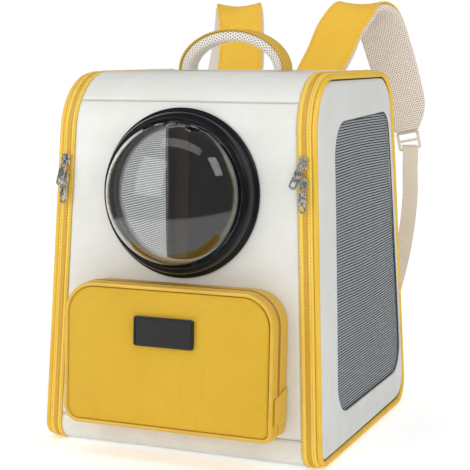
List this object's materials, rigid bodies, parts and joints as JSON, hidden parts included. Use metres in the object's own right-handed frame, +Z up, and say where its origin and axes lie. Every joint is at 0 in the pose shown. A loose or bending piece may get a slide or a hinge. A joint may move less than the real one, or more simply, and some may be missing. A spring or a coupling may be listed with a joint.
{
  "type": "pet carrier backpack",
  "caption": "Box-shaped pet carrier backpack with a clear bubble window, mesh sides, a zipped front pocket, a padded carry handle and padded shoulder straps.",
  "frame": {"origin": "middle of the base, on the floor", "axes": "+Z up, +Y towards the wearer's back, so the front with the bubble faces -Y; +X to the right seen from the front"},
  "size_m": [0.3366, 0.4946, 0.5074],
  "materials": {
    "white_panel": "soft white coated cloth, slightly glossy",
    "grey_panel": "pale grey coated cloth, satin",
    "grey_mesh": "ribbed see-through mesh",
    "yellow_cloth": "matt woven cloth",
    "yellow_piping": "smooth coated piping",
    "zip_tape": "woven zip tape",
    "zip_coil": "nylon zip coil",
    "beige_mesh": "dotted air mesh",
    "beige_webbing": "woven webbing",
    "beige_plastic": "moulded plastic, matt",
    "black_plastic": "glossy",
    "clear_dome": "clear and glossy",
    "label_rubber": "matt, blank",
    "chrome": "polished"
  },
  "bodies": {
    "pack": {"front_panel": "white_panel", "top_panel": "white_panel", "back_panel": "white_panel", "base_panel": "white_panel", "dome_ring": "black_plastic", "dome_bubble": "clear_dome", "pocket_gusset": "yellow_cloth", "pocket_face": "yellow_cloth", "pocket_piping": "yellow_piping", "pocket_zip": "zip_coil", "pocket_label": "label_rubber", "handle_cover": "yellow_cloth", "handle_pad": "beige_mesh", "side_panel_left": "grey_panel", "side_mesh_left": "grey_mesh", "zip_band_left": "zip_tape", "zip_coil_left": "zip_coil", "side_piping_left": "yellow_piping", "pocket_patch_left": "yellow_cloth", "strap_cover_left": "yellow_cloth", "strap_pad_left": "beige_mesh", "strap_buckle_left": "beige_plastic", "strap_webbing_left": "beige_webbing", "webbing_tab_left": "yellow_cloth", "side_panel_right": "grey_panel", "side_mesh_right": "grey_mesh", "zip_band_right": "zip_tape", "zip_coil_right": "zip_coil", "side_piping_right": "yellow_piping", "pocket_patch_right": "yellow_cloth", "strap_cover_right": "yellow_cloth", "strap_pad_right": "beige_mesh", "strap_buckle_right": "beige_plastic", "strap_webbing_right": "beige_webbing", "webbing_tab_right": "yellow_cloth", "zip_slider_left_upper": "chrome", "zip_slider_left_lower": "chrome", "zip_slider_right_upper": "chrome", "zip_slider_right_lower": "chrome"},
    "pull_left_upper": {"zip_pull_left_upper": "chrome"},
    "pull_left_lower": {"zip_pull_left_lower": "chrome"},
    "pull_right_upper": {"zip_pull_right_upper": "chrome"},
    "pull_right_lower": {"zip_pull_right_lower": "chrome"}
  },
  "joints": [
    {"name": "pull_left_upper_swing", "type": "hinge", "parent": "pack", "child": "pull_left_upper", "pos_m": [-0.14127, -0.15708, 0.32117], "axis": [-0.9918, 0.1278, -0.007], "range_deg": [0, 130]},
    {"name": "pull_left_lower_swing", "type": "hinge", "parent": "pack", "child": "pull_left_lower", "pos_m": [-0.14211, -0.15812, 0.30217], "axis": [-0.9918, 0.1278, -0.007], "range_deg": [0, 30]},
    {"name": "pull_right_upper_swing", "type": "hinge", "parent": "pack", "child": "pull_right_upper", "pos_m": [0.14105, -0.1568, 0.32617], "axis": [-0.9129, -0.0963, 0.3966], "range_deg": [0, 110]},
    {"name": "pull_right_lower_swing", "type": "hinge", "parent": "pack", "child": "pull_right_lower", "pos_m": [0.14202, -0.15801, 0.30417], "axis": [-0.9918, -0.1278, 0.007], "range_deg": [0, 150]}
  ]
}
